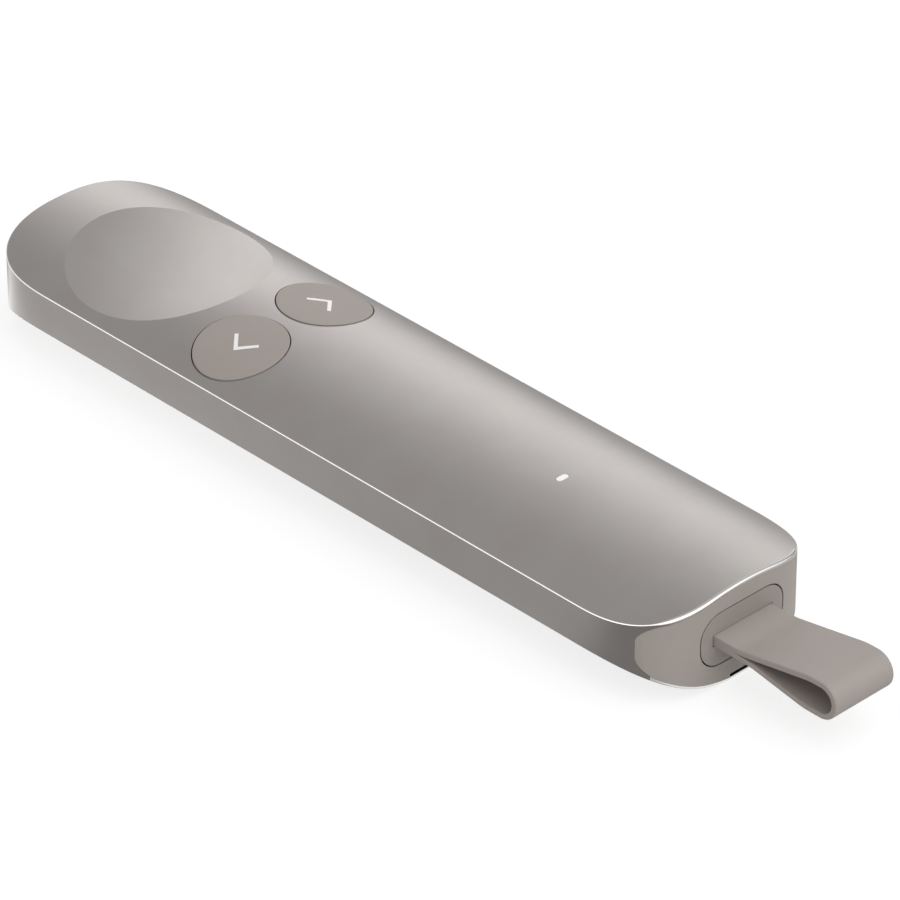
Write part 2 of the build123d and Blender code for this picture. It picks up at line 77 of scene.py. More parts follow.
cameraPlace = {
    "azimuth": -43.961, "elevation": 33.267, "distance": 750.0, "aim": (4.71, -5.81, 3.32),
    "lens": 254.7, "sensor": 36, "nearest": 0.01, "farthest": 20,
}
studio = {
    # matt surfaces get a broad lamp over the tail
    "mattBase": 0.12, "mattLamp": 1.78, "mattFocus": 2.0, "mattFrom": (8, 60),
    # gloss sees a dome that fades towards the floor
    "zenith": 0.92, "horizon": 0.20,
    "floorHalf": 4000.0, "paper": "#f4f3f1", "shadowPaper": "#8c8c8c", "backgroundLift": 0.80,
}
# gloss also sees these: each fades sideways over the cosine of the angle from its heading,
# and at its foot and head over the sine of the height
softboxes = (
    # wide, behind the right side
    {"heading": (0.72, 0.69), "level": 2.12,
     "across": (0.87, 1.0), "foot": (0.106, 0.14), "head": (0.163, 0.84)},
    # a faint fill in front
    {"heading": (-0.72, -0.69), "level": 0.75,
     "across": (-0.1, 0.3), "foot": (0.05, 0.30), "head": (1.5, 2.0)},
    # for the cut edge of the tail
    {"heading": (0.74, -0.68), "level": 0.42,
     "across": (0.5, 0.9), "foot": (-0.1, 0.0), "head": (0.6, 1.0)},
    # for the long cut edge
    {"heading": (-0.74, 0.67), "level": 0.9,
     "across": (0.5, 0.9), "foot": (-0.1, 0.0), "head": (0.4, 0.75)},
)
# what the metal sees of the floor: how a patch joins the ones above, then its edges,
# each with its axis, where it starts and ends, and the level before and after
floorShine = {
    "tail": 0.50, "far": 0.10, "farFrom": 90, "farTo": 260,
    "patches": (
        ("ADD", ("Y", -50, -36, 0, 0.37)),       # the long side
        ("ADD", ("Y", -36, 54, 0, 0.13)),        # a little more towards the head
        # the near corner of the head
        ("MULTIPLY_ADD", ("X", -20, -10, 0, 1), ("X", -11, -7, 1, -0.5), ("Y", 0, 30, 0, 1.1)),
        # a strip in front of the tail's foot
        ("MAXIMUM", ("Y", -62.5, -60, 0, 1), ("Y", -58.0, -57.7, 1, 0), ("X", -16.5, -14.5, 0, 0.85)),
    ),
}


def lookFrom(azimuth, elevation):
    a, e = math.radians(azimuth), math.radians(elevation)
    return Vector((math.sin(a) * math.cos(e), -math.cos(a) * math.cos(e), math.sin(e)))


def makeCamera():
    data = bpy.data.cameras.new("camera")
    camera = bpy.data.objects.new("camera", data)
    bpy.context.scene.collection.objects.link(camera)
    back = lookFrom(cameraPlace["azimuth"], cameraPlace["elevation"])
    right = upward.cross(back).normalized()
    turn = Matrix((right, back.cross(right), back)).transposed().to_4x4()
    spot = (Vector(cameraPlace["aim"]) + back * cameraPlace["distance"]) * mm
    camera.matrix_world = Matrix.Translation(spot) @ turn
    data.sensor_width = cameraPlace["sensor"]
    data.lens = cameraPlace["lens"]
    data.clip_start = cameraPlace["nearest"]
    data.clip_end = cameraPlace["farthest"]
    bpy.context.scene.camera = camera


def softPatch(tree, edges):
    patch = 1.0
    for value, start, end, before, after in edges:
        edge = addNode(tree, "ShaderNodeMapRange", {
            "Value": value, "From Min": start, "From Max": end, "To Min": before, "To Max": after,
        }, interpolation_type="SMOOTHSTEP")
        patch = addNode(tree, "ShaderNodeMath", {0: patch, 1: edge}, operation="MULTIPLY")
    return patch


def makeWorld():
    world = bpy.data.worlds.new("studioDome")
    world.use_nodes = True
    bpy.context.scene.world = world
    tree = world.node_tree
    tree.nodes.clear()
    direction = addNode(tree, "ShaderNodeTexCoord").outputs["Generated"]
    height = addNode(tree, "ShaderNodeSeparateXYZ", {0: direction}).outputs["Z"]
    flat = addNode(tree, "ShaderNodeVectorMath", {0: direction, 1: (1, 1, 0)}, operation="MULTIPLY")
    heading = addNode(tree, "ShaderNodeVectorMath", {0: flat}, operation="NORMALIZE")
    dome = addNode(tree, "ShaderNodeMapRange", {
        "Value": height, "To Min": studio["horizon"], "To Max": studio["zenith"],
    })
    for box in softboxes:
        turn = addNode(tree, "ShaderNodeVectorMath", {
            0: heading, 1: Vector((*box["heading"], 0)).normalized(),
        }, operation="DOT_PRODUCT").outputs["Value"]
        glow = softPatch(tree, (
            (turn, *box["across"], 0, box["level"]),
            (height, *box["foot"], 0, 1),
            (height, *box["head"], 1, 0),
        ))
        dome = addNode(tree, "ShaderNodeMath", {0: dome, 1: glow}, operation="ADD")
    facing = addNode(tree, "ShaderNodeVectorMath", {
        0: direction, 1: lookFrom(*studio["mattFrom"]),
    }, operation="DOT_PRODUCT").outputs["Value"]
    facing = addNode(tree, "ShaderNodeMath", {0: facing, 1: 0.0}, operation="MAXIMUM")
    lamp = addNode(tree, "ShaderNodeMath", {0: facing, 1: studio["mattFocus"]}, operation="POWER")
    lamp = addNode(tree, "ShaderNodeMath", {
        0: lamp, 1: studio["mattLamp"], 2: studio["mattBase"],
    }, operation="MULTIPLY_ADD")
    rays = addNode(tree, "ShaderNodeLightPath").outputs
    strength = addNode(tree, "ShaderNodeMix", {0: rays["Is Glossy Ray"], 2: lamp, 3: dome})
    strength = addNode(tree, "ShaderNodeMix", {0: rays["Is Camera Ray"], 2: strength, 3: 1.0})
    light = addNode(tree, "ShaderNodeBackground", {"Color": (1, 1, 1, 1), "Strength": strength})
    addNode(tree, "ShaderNodeOutputWorld", {"Surface": light})


def makeFloor():
    half = studio["floorHalf"] * mm
    corners = [(-half, -half, 0), (half, -half, 0), (half, half, 0), (-half, half, 0)]
    mesh = bpy.data.meshes.new("floor")
    mesh.from_pydata(corners, [], [(0, 1, 2, 3)])
    floor = bpy.data.objects.new("floor", mesh)
    bpy.context.scene.collection.objects.link(floor)
    material = bpy.data.materials.new("paleFloor")
    material.use_nodes = True
    tree = material.node_tree
    tree.nodes.clear()
    rays = addNode(tree, "ShaderNodeLightPath").outputs
    toCamera = rays["Is Camera Ray"]
    colour = addNode(tree, "ShaderNodeMix", {
        0: toCamera, 6: linear(studio["paper"]), 7: linear(studio["shadowPaper"]),
    }, data_type="RGBA").outputs[2]
    paper = addNode(tree, "ShaderNodeBsdfDiffuse", {"Color": colour})
    strength = addNode(tree, "ShaderNodeMath", {
        0: toCamera, 1: studio["backgroundLift"],
    }, operation="MULTIPLY")
    lift = addNode(tree, "ShaderNodeEmission", {"Strength": strength})
    lit = addNode(tree, "ShaderNodeAddShader", {0: paper, 1: lift})
    place = addNode(tree, "ShaderNodeTexCoord").outputs["Object"]
    spot = addNode(tree, "ShaderNodeSeparateXYZ", {0: place}).outputs
    shine = floorShine["tail"]
    for operation, *edges in floorShine["patches"]:
        patch = softPatch(tree, [
            (spot[axis], start * mm, end * mm, before, after) for axis, start, end, before, after in edges
        ])
        shine = addNode(tree, "ShaderNodeMath", {0: shine, 1: patch, 2: shine}, operation=operation)
    away = addNode(tree, "ShaderNodeVectorMath", {0: place}, operation="LENGTH").outputs["Value"]
    distant = softPatch(tree, [(away, floorShine["farFrom"] * mm, floorShine["farTo"] * mm, 0, 1)])
    shine = addNode(tree, "ShaderNodeMix", {0: distant, 2: shine, 3: floorShine["far"]})
    mirrored = addNode(tree, "ShaderNodeEmission", {"Strength": shine})
    seen = addNode(tree, "ShaderNodeMixShader", {0: rays["Is Glossy Ray"], 1: lit, 2: mirrored})
    addNode(tree, "ShaderNodeOutputMaterial", {"Surface": seen})
    mesh.materials.append(material)


bpy.context.scene.view_settings.view_transform = "Standard"
makeCamera()
makeWorld()
makeFloor()
print("camera, dome and floor ready")

# Finishes: name, the two colours it drifts between, metallic, roughness, and the texture's size and depth.
# Textures finer than 0.2 mm wouldn't show at this distance, so they are drawn that coarse or coarser.

# how broad the drift is, how fine the noise goes, and the part of its range that is used
texture = {"cloud": 6.0, "detail": 2.0, "lowest": 0.3, "highest": 0.7}


def finish(name, colours, metallic, roughness, size, depth, stretch=(1, 1, 1)):
    material = bpy.data.materials.new(name)
    material.use_nodes = True
    tree = material.node_tree
    shader = next(n for n in tree.nodes if n.type == "BSDF_PRINCIPLED")
    place = addNode(tree, "ShaderNodeTexCoord").outputs["Object"]
    fine, broad = [
        addNode(tree, "ShaderNodeTexNoise", {
            "Vector": addNode(tree, "ShaderNodeMapping", {"Vector": place, "Scale": spread}),
            "Scale": 1 / (step * mm), "Detail": texture["detail"],
        }).outputs["Fac"]
        for step, spread in ((size, stretch), (texture["cloud"], (1, 1, 1)))
    ]
    noise = {"From Min": texture["lowest"], "From Max": texture["highest"]}
    drift = addNode(tree, "ShaderNodeMapRange", {"Value": broad, **noise})
    colour = addNode(tree, "ShaderNodeMix", {
        0: drift, 6: linear(colours[0]), 7: linear(colours[1]),
    }, data_type="RGBA").outputs[2]
    sheen = addNode(tree, "ShaderNodeMapRange", {
        "Value": fine, **noise, "To Min": roughness[0], "To Max": roughness[1],
    }).outputs[0]
    bump = addNode(tree, "ShaderNodeBump", {
        "Strength": 1.0, "Distance": depth * mm, "Height": fine,
    }).outputs[0]
    for source, socket in ((colour, "Base Color"), (sheen, "Roughness"), (bump, "Normal")):
        tree.links.new(source, shader.inputs[socket])
    shader.inputs["Metallic"].default_value = metallic
    return material


finishes = {
    # bead blasted and anodised 6063: a soft even sheen, the 0.1 mm blast grain drawn at 0.25
    "blastedAlloy": finish(
        "blastedAnodisedAluminium", ("#979290", "#999592"), 1.0, (0.32, 0.36), 0.25, 0.0006),
    # the same where it rolls over into the cut edge, painted lighter: a painted highlight for the soft edge
    # of the rim's highlight
    "rolledAlloyHighlight": finish(
        "rolledAnodisedAluminiumHighlight", ("#b4b0ad", "#b7b3b0"), 1.0, (0.32, 0.36), 0.25, 0.0006),
    # the diamond turned edge: bare and bright
    "brightCut": finish(
        "diamondCutAluminium", ("#f3f0ec", "#f5f3ef"), 1.0, (0.22, 0.28), 0.3, 0.0004),
    # moulded polycarbonate blend: the fine spark-eroded texture spreads its highlights
    "mouldedCap": finish(
        "texturedPolycarbonate", ("#a69e98", "#a8a19b"), 0.0, (0.44, 0.5), 0.3, 0.002),
    "mouldedReceiver": finish(
        "texturedReceiverPlastic", ("#9b938d", "#9d9690"), 0.0, (0.44, 0.5), 0.3, 0.002),
    # moulded and coated soft to the touch: no highlight to speak of
    "mouldedKey": finish(
        "softTouchKeyPlastic", ("#9d958f", "#9f9792"), 0.0, (0.5, 0.58), 0.22, 0.002),
    # moulded silicone: matt, a little dusty
    "siliconeBand": finish(
        "mattSiliconeRubber", ("#a29993", "#a49c97"), 0.0, (0.5, 0.58), 0.4, 0.003),
    # filled and levelled enamel: an even white
    "whiteInlay": finish(
        "whiteSatinInlay", ("#f4f3f1", "#f7f6f4"), 0.0, (0.35, 0.42), 0.5, 0.0005),
    # moulded opal acrylic: whiter than the inlay, with a soft shine
    "milkyPipe": finish(
        "milkyLightPipe", ("#fbfaf8", "#fefefc"), 0.0, (0.3, 0.36), 0.5, 0.0005),
    # glass filled nylon: dark with a dull skin; the same black also lines the cap's strap slot as painted
    # shade
    "blackNylonAndSlotShade": finish(
        "blackMouldedNylonAndSlotShade", ("#1c1c1e", "#232325"), 0.0, (0.45, 0.55), 0.3, 0.003),
    # rolled and stamped: fine lines along the sheet
    "stampedSteel": finish(
        "stampedStainlessSteel", ("#b9b8b6", "#c4c3c1"), 1.0, (0.22, 0.34), 0.25, 0.0008,
        stretch=(1, 0.08, 1)),
    # screened varnish over laminate: green and fairly glossy
    "solderMask": finish(
        "greenSolderMask", ("#0f3b28", "#14472f"), 0.0, (0.3, 0.4), 0.6, 0.003),
    # cast film over copper: amber with a clear shine
    "polyimide": finish(
        "amberPolyimideFilm", ("#b06a20", "#c07c2c"), 0.0, (0.25, 0.32), 0.4, 0.0005),
    # aluminium foil under nylon film: silvery with slight dents
    "foilPouch": finish(
        "laminatedFoilPouch", ("#8f949b", "#a4a8ae"), 0.6, (0.3, 0.42), 1.2, 0.02),
    # foamed polyurethane: black pores, no shine
    "openFoam": finish(
        "openCellFoam", ("#1a1a1a", "#242424"), 0.0, (0.85, 0.95), 0.25, 0.05),
    # gold over nickel: warm and smooth
    "goldPlate": finish(
        "goldPlatedContact", ("#d9b25f", "#e2bd6c"), 1.0, (0.2, 0.28), 0.3, 0.0005),
}
print("finishes ready:", len(finishes))

# Meshes are built in millimetres and scaled once, when they become objects


def objectFrom(bm, name):
    bmesh.ops.scale(bm, vec=(mm, mm, mm), verts=bm.verts)
    mesh = bpy.data.meshes.new(name)
    bm.to_mesh(mesh)
    bm.free()
    thing = bpy.data.objects.new(name, mesh)
    bpy.context.scene.collection.objects.link(thing)
    return thing


def bake(thing):
    settled = thing.evaluated_get(bpy.context.evaluated_depsgraph_get())
    mesh = bpy.data.meshes.new_from_object(settled)
    thing.modifiers.clear()
    thing.data = mesh


def combine(thing, tool, operation="DIFFERENCE"):
    step = thing.modifiers.new("combine", "BOOLEAN")
    step.operation = operation
    step.object = tool
    step.solver = "MANIFOLD"
    bake(thing)
    bpy.data.objects.remove(tool)


def rounded(thing, width, segments, angle=40):
    step = thing.modifiers.new("edge", "BEVEL")
    step.width = width * mm
    step.segments = segments
    step.limit_method = "ANGLE"
    step.angle_limit = math.radians(angle)
    step.harden_normals = True
    bake(thing)


def softShade(thing, angle=35, weight=60):
    mesh = thing.data
    mesh.polygons.foreach_set("use_smooth", [True] * len(mesh.polygons))
    mesh.set_sharp_from_angle(angle=math.radians(angle))
    step = thing.modifiers.new("shade", "WEIGHTED_NORMAL")
    step.keep_sharp = True
    step.weight = weight
    bake(thing)


def dress(thing, name, body, nodes, slot, *materials):
    thing.name = thing.data.name = name
    if materials:
        thing.data.materials.clear()
        for material in materials:
            thing.data.materials.append(finishes[material])
    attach(thing, body)
    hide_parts(*nodes)


def prism(points, start, end, along="Z"):
    bm = bmesh.new()
    ends = []
    for level in (start, end):
        places = [(p, q, level) if along == "Z" else (p, level, q) for p, q in points]
        ends.append([bm.verts.new(place) for place in places])
    bm.faces.new(ends[0])
    bm.faces.new(ends[1][::-1])
    for i in range(len(points)):
        bm.faces.new((ends[0][i - 1], ends[1][i - 1], ends[1][i], ends[0][i]))
    bmesh.ops.recalc_face_normals(bm, faces=bm.faces)
    return objectFrom(bm, "tool")


def block(x0, x1, y0, y1, z0, z1):
    return prism([(x0, y0), (x1, y0), (x1, y1), (x0, y1)], z0, z1)


def ring(x, y, radius, steps):
    turns = [2 * math.pi * i / steps for i in range(steps)]
    return [(x + radius * math.cos(a), y + radius * math.sin(a)) for a in turns]


def roundedRectangle(x, z, width, height, radius, steps):
    points = []
    for corner, (sx, sz) in enumerate(((1, 1), (-1, 1), (-1, -1), (1, -1))):
        cx, cz = x + sx * (width / 2 - radius), z + sz * (height / 2 - radius)
        for i in range(steps + 1):
            a = math.pi / 2 * (corner + i / steps)
            points.append((cx + radius * math.cos(a), cz + radius * math.sin(a)))
    return points


# Housing: a crowned top and belly round a straight wall

housingHigh = boxOf("housing")[1]
bodySize = {
    "halfWidth": housingHigh.x, "halfLength": housingHigh.y,
    "wallFoot": 4.7, "wallTop": 9.9, "crownRise": 2.85,
    "restHalf": 2.1, "kneeRise": 1.54,
    "headReach": 14.4, "headPower": 3.2,
    "tailAcross": 9.9, "tailReach": 12.7, "tailPower": 2.6,
    "wall": 1.2, "seam": 0.03,
    "topCut": 0.12, "topCutTail": 0.44, "footCut": 0.05, "footCutTail": 0.16,
    "tailTurn": (0.6, 0.88),                     # how far the wall faces backwards where the cuts widen
    "cutSteps": 5, "highlightBands": 2, "columns": 72, "cornerSteps": 44, "rowPitch": 1.5, "weld": 1e-4,
}
halfWidth, halfLength = bodySize["halfWidth"], bodySize["halfLength"]
headY, tailY = halfLength - bodySize["headReach"], bodySize["tailReach"] - halfLength
crownRadius = (halfWidth ** 2 + bodySize["crownRise"] ** 2) / (2 * bodySize["crownRise"])
topZ = bodySize["wallTop"] + bodySize["crownRise"]
crownCentre = topZ - crownRadius


def crownZ(x, drop=0.0):
    return crownCentre + math.sqrt((crownRadius - drop) ** 2 - x * x)


def circleThrough(a, b, c):
    sums = [p[0] ** 2 + p[1] ** 2 for p in (a, b, c)]
    d = 2 * (a[0] * (b[1] - c[1]) + b[0] * (c[1] - a[1]) + c[0] * (a[1] - b[1]))
    cx = (sums[0] * (b[1] - c[1]) + sums[1] * (c[1] - a[1]) + sums[2] * (a[1] - b[1])) / d
    cz = (sums[0] * (c[0] - b[0]) + sums[1] * (a[0] - c[0]) + sums[2] * (b[0] - a[0])) / d
    return cx, cz, math.hypot(a[0] - cx, a[1] - cz)


bellyX, bellyCentre, bellyRadius = circleThrough(
    (bodySize["restHalf"], 0),
    ((bodySize["restHalf"] + halfWidth) / 2, bodySize["kneeRise"]),
    (halfWidth, bodySize["wallFoot"]),
)


def bellyZ(x):
    if abs(x) <= bodySize["restHalf"]:
        return 0.0
    return bellyCentre - math.sqrt(bellyRadius ** 2 - (abs(x) - bellyX) ** 2)


def planCorner(cx, cy, rx, ry, power, side):
    rows = []
    for i in range(bodySize["cornerSteps"] + 1):
        a = math.pi / 2 * i / bodySize["cornerSteps"]
        u, v = max(math.cos(a), 0) ** (2 / power), math.sin(a) ** (2 / power)
        out = Vector((u ** (power - 1) / rx, side * v ** (power - 1) / ry)).normalized()
        rows.append((cx + rx * u, cy + side * ry * v, out.x, out.y))
    return rows


def planRows(inset=0.0):
    wide, across = halfWidth - inset, bodySize["tailAcross"] - inset
    tailReach, headReach = bodySize["tailReach"] - inset, bodySize["headReach"] - inset
    tail = planCorner(wide - across, tailY, across, tailReach, bodySize["tailPower"], -1)
    head = planCorner(0, headY, wide, headReach, bodySize["headPower"], 1)
    count = round((headY - tailY) / bodySize["rowPitch"])
    straight = [(wide, tailY + (headY - tailY) * i / count, 1, 0) for i in range(1, count)]
    return tail[::-1] + straight + head


def planLoop(inset=0.0):
    rows = planRows(inset)
    return [(x, y) for x, y, _, _ in rows] + [(-x, y) for x, y, _, _ in rows[-2::-1]]


def cutDepth(ny, kind):
    start, full = bodySize["tailTurn"]
    t = min(max((-ny - start) / (full - start), 0), 1)
    tail = t * t * (3 - 2 * t)
    return bodySize[kind] * (1 - tail) + bodySize[kind + "Tail"] * tail


def bodySolid(name, inset=0.0, cuts=False):
    bm = bmesh.new()
    rows, columns = planRows(inset), bodySize["columns"]

    def cutAt(ny, kind):
        return cutDepth(ny, kind) if cuts else 0.0

    def grid(kind, height):
        lines = []
        for x, y, nx, ny in rows:
            cut = cutAt(ny, kind)
            edge = x - cut * nx
            places = [edge * (2 * c / columns - 1) for c in range(columns + 1)]
            lines.append([bm.verts.new((p, y - cut * ny, height(p))) for p in places])
        return lines

    top = grid("topCut", lambda x: crownZ(x, inset))
    low = grid("footCut", lambda x: bellyZ(x) + inset)
    for i in range(len(rows) - 1):
        for c in range(columns):
            bm.faces.new((top[i][c], top[i][c + 1], top[i + 1][c + 1], top[i + 1][c]))
            bm.faces.new((low[i + 1][c], low[i + 1][c + 1], low[i][c + 1], low[i][c]))
    # once round the edge: up the right side, down the left, back along the tail
    walk = [(i, columns, 1) for i in range(len(rows))]
    walk += [(i, 0, -1) for i in range(len(rows) - 1, -1, -1)]
    walk += [(0, c, 0) for c in range(1, columns)]
    steps = bodySize["cutSteps"] if cuts else 1
    turns = [math.pi / 2 * k / steps for k in range(1, steps + 1)]
    rings = [[] for _ in range(2 * steps + 2)]
    for i, c, side in walk:
        x, y, nx, ny = rows[i]
        if side == 0:
            x, nx = top[i][c].co.x, 0
        else:
            x, nx = side * x, side * nx
        upper, lower = top[i][c], low[i][c]
        places = [upper]
        for level, sign, kind, order in (
            (upper.co.z, -1, "topCut", turns),
            (lower.co.z, 1, "footCut", turns[::-1]),
        ):
            cut = cutAt(ny, kind)
            for a in order:
                inward, fall = cut * (1 - math.sin(a)), cut * (1 - math.cos(a))
                places.append(bm.verts.new((x - inward * nx, y - inward * ny, level + sign * fall)))
        for row, place in zip(rings, places + [lower]):
            row.append(place)
    for band, (above, below) in enumerate(zip(rings, rings[1:])):
        # slots: 0 blasted, 1 bright cut, 2 rolled over, painted lighter as a highlight
        slot = 0 if band == steps else 2 if band < bodySize["highlightBands"] else 1
        for k in range(len(walk)):
            face = bm.faces.new((above[k - 1], below[k - 1], below[k], above[k]))
            face.material_index = slot
    bmesh.ops.remove_doubles(bm, verts=bm.verts, dist=bodySize["weld"])
    return objectFrom(bm, name)


# The dish is a circle swept along the body, and its rim lies on the crown

dishSize = {
    "fromHead": 19.8, "radius": 12.7, "depth": 1.25, "reach": 13.3, "rings": 26, "steps": 144,
    "bossRadius": 7.4, "bossDepth": 0.45, "bossSteps": 96,
}
dishY = halfLength - dishSize["fromHead"]
dishAlong = dishSize["radius"] ** 2 / (2 * dishSize["depth"])
dishAcross = 1 / (1 / crownRadius - 1 / dishAlong)
dishAxis = topZ - dishSize["depth"] + dishAlong


def dishSweep(x, drop=0.0):
    return dishAlong + drop + dishAcross - math.sqrt(dishAcross ** 2 - x * x)


def dishZ(x, y, drop=0.0):
    return dishAxis - math.sqrt(dishSweep(x, drop) ** 2 - (y - dishY) ** 2)


def closeRings(bm, middle, rings):
    for i in range(len(rings[0])):
        bm.faces.new((middle, rings[0][i - 1], rings[0][i]))
        for inner, outer in zip(rings, rings[1:]):
            bm.faces.new((inner[i - 1], outer[i - 1], outer[i], inner[i]))
    bm.faces.new(rings[-1])
    bmesh.ops.recalc_face_normals(bm, faces=bm.faces)


def dishTool(drop=0.0):
    bm = bmesh.new()
    middle = bm.verts.new((0, dishY, dishZ(0, dishY, drop)))
    rings = []
    for k in range(1, dishSize["rings"] + 1):
        places = ring(0, dishY, dishSize["reach"] * k / dishSize["rings"], dishSize["steps"])
        rings.append([bm.verts.new((x, y, dishZ(x, y, drop))) for x, y in places])
    rings.append([bm.verts.new((v.co.x, v.co.y, topZ + past)) for v in rings[-1]])
    closeRings(bm, middle, rings)
    return objectFrom(bm, "tool")


plungerLow, plungerHigh = boxOf("next_plunger")
keyLow, keyHigh = boxOf("next_button")
keySize = {
    "gap": 0.14, "proud": 0.12, "rounding": 0.07, "skirt": 1.2, "travelRoom": 0.5,
    "rings": 14, "steps": 120, "edgeSteps": 5, "holeSteps": 144,
    "tabHalf": 1.8, "tabReach": 1.05, "tabGap": 0.1, "stemRadius": 1.2, "stemRise": 0.25, "stemSteps": 48,
    "chevronHalf": 2.12, "chevronDepth": 2.45, "chevronStroke": 0.46, "chevronBed": 0.02,
}
keyX, keyY = (plungerLow.x + plungerHigh.x) / 2, (plungerLow.y + plungerHigh.y) / 2
keyRadius = (keyHigh.x - keyLow.x) / 2
keyFoot = crownZ(keyX + keyRadius) - keySize["skirt"]

lightLow, lightHigh = boxOf("light_pipe")
lightSize = {"y": (lightLow.y + lightHigh.y) / 2, "length": 1.7, "width": 0.85, "holeFoot": 8, "steps": 16}

capSize = {
    "thickness": 1.3, "wrap": 5.5, "side": 1.37, "top": 0.45, "foot": 0.40,
    "topRadius": 2.6, "footRadius": 3.4,
    "slotX": -0.45, "slotWidth": 2.85, "slotHeight": 0.4, "slotSill": 0.05, "slotShadeMargin": 0.02,
    "mouthGap": 0.19, "mouthDepth": 3, "edge": 0.03, "edgeSteps": 2, "arcSteps": 20,
    "armFrom": 8.15, "armThickness": 0.8, "armHeight": 2.4, "armLength": 9.0, "armBite": 0.2,
    "barb": 1.4, "barbFrom": 7.65,
}


def pillLoop(y, length, width, steps):
    half, radius = (length - width) / 2, width / 2
    arc = [math.pi * (i / steps - 0.5) for i in range(steps + 1)]
    right = [(half + radius * math.cos(a), y + radius * math.sin(a)) for a in arc]
    return right + [(-px, 2 * y - py) for px, py in right]


def capLoop(grow=0.0):
    side = halfWidth - capSize["side"] + grow
    crown = crownRadius - capSize["top"] + grow
    footCentre = bellyCentre + capSize["foot"] - grow
    topR, footR = capSize["topRadius"], capSize["footRadius"]
    tx = side - topR
    tz = crownCentre + math.sqrt((crown - topR) ** 2 - tx * tx)
    topTurn = math.atan2(tz - crownCentre, tx)
    fx = side - footR
    fz = footCentre - math.sqrt((bellyRadius - footR) ** 2 - (fx - bellyX) ** 2)
    footTurn = math.atan2(fz - footCentre, fx - bellyX)
    flatTurn = math.atan2(-bellyCentre, bodySize["restHalf"] - bellyX)
    half = []
    # belly, lower corner, upper corner and crown: the first step, the centre, the radius and both turns.
    # Two of them leave out step 0, because the arc before ends on it.
    for first, x, z, radius, start, end in (
        (0, bellyX, footCentre, bellyRadius, flatTurn, footTurn),
        (1, fx, fz, footR, footTurn, 0),
        (0, tx, tz, topR, 0, topTurn),
        (1, 0, crownCentre, crown, topTurn, math.pi / 2),
    ):
        for i in range(first, capSize["arcSteps"] + 1):
            a = start + (end - start) * i / capSize["arcSteps"]
            half.append((x + radius * math.cos(a), z + radius * math.sin(a)))
    return half + [(-x, z) for x, z in half[-2::-1]]


def capLayer(grow=0.0):
    layer = prism(capLoop(grow), -halfLength - past, capSize["wrap"] + grow - halfLength, along="Y")
    combine(layer, prism(planLoop(capSize["thickness"] + grow), -past, topZ + past))
    return layer


# The normals come from the surfaces themselves, so that long mirror lines run true

surfaceFit = {"near": 0.01, "nearBelly": 0.02, "dishRim": 0.2, "alike": 0.9}


def crownNormal(p):
    return Vector((p.x, 0, p.z - crownCentre)).normalized()


def dishNormal(p):
    sweep = dishSweep(p.x)
    depth = math.sqrt(sweep ** 2 - (p.y - dishY) ** 2)
    bow = p.x / math.sqrt(dishAcross ** 2 - p.x ** 2)
    return Vector((sweep * bow / depth, -(p.y - dishY) / depth, 1)).normalized()


def bellyNormal(p):
    if abs(p.x) <= bodySize["restHalf"]:
        return -upward
    return Vector((math.copysign(abs(p.x) - bellyX, p.x), 0, p.z - bellyCentre)).normalized()


def cornerOf(p):
    size = bodySize
    if p.y > headY:
        across, reach, power, end = halfWidth, size["headReach"], size["headPower"], headY
    elif p.y < tailY:
        across, reach, power, end = size["tailAcross"], size["tailReach"], size["tailPower"], tailY
    else:
        return None
    return max(abs(p.x) - halfWidth + across, 0) / across, abs(p.y - end) / reach, across, reach, power


def wallNormal(p):
    corner = cornerOf(p)
    if corner is None:
        return Vector((math.copysign(1, p.x), 0, 0))
    u, v, across, reach, power = corner
    out = (math.copysign(u ** (power - 1) / across, p.x), math.copysign(v ** (power - 1) / reach, p.y), 0)
    return Vector(out).normalized()


def onCrown(p):
    return abs(p.z - crownZ(p.x)) < surfaceFit["near"]


def onDish(p):
    within = math.hypot(p.x, p.y - dishY) < dishSize["radius"] + surfaceFit["dishRim"]
    return within and abs(p.z - dishZ(p.x, p.y)) < surfaceFit["near"]


def onBelly(p):
    return abs(p.z - bellyZ(p.x)) < surfaceFit["nearBelly"]


def onWall(p):
    corner = cornerOf(p)
    if corner is None:
        return abs(abs(p.x) - halfWidth) < surfaceFit["near"]
    u, v, _, _, power = corner
    return abs(u ** power + v ** power - 1) < surfaceFit["near"]


def cutNormal(p):
    out = wallNormal(p)
    if p.z > (bodySize["wallFoot"] + bodySize["wallTop"]) / 2:
        level, face, kind = crownZ(p.x), crownNormal(p), "topCut"
    else:
        level, face, kind = bellyZ(p.x), bellyNormal(p), "footCut"
    turn = math.acos(min(max(1 - abs(level - p.z) / cutDepth(out.y, kind), 0), 1))
    return (face * math.cos(turn) + out * math.sin(turn)).normalized()


def dressNormals(thing, surfaces):
    mesh = thing.data
    normals = []
    for face in mesh.polygons:
        places = [mesh.vertices[i].co / mm for i in face.vertices]
        middle = face.center / mm
        rule = cutNormal if face.material_index else None
        if rule is None:
            for test, normalAt in surfaces:
                if all(map(test, places)) and normalAt(middle).dot(face.normal) > surfaceFit["alike"]:
                    rule = normalAt
                    break
        normals += [rule(p) if rule else face.normal.copy() for p in places]
    mesh.polygons.foreach_set("use_smooth", [True] * len(mesh.polygons))
    mesh.normals_split_custom_set(normals)


def paintCuts(mesh):
    for face in mesh.polygons:
        spot = face.center / mm
        besideCap = spot.y < capSize["wrap"] - halfLength
        underCap = besideCap and spot.z - bellyZ(spot.x) < capSize["foot"]
        if face.material_index > 2:              # the faces that the tools left
            face.material_index = 0
        if face.material_index == 0 and underCap and onWall(spot):
            face.material_index = 1
    while len(mesh.materials) > 3:
        mesh.materials.pop()


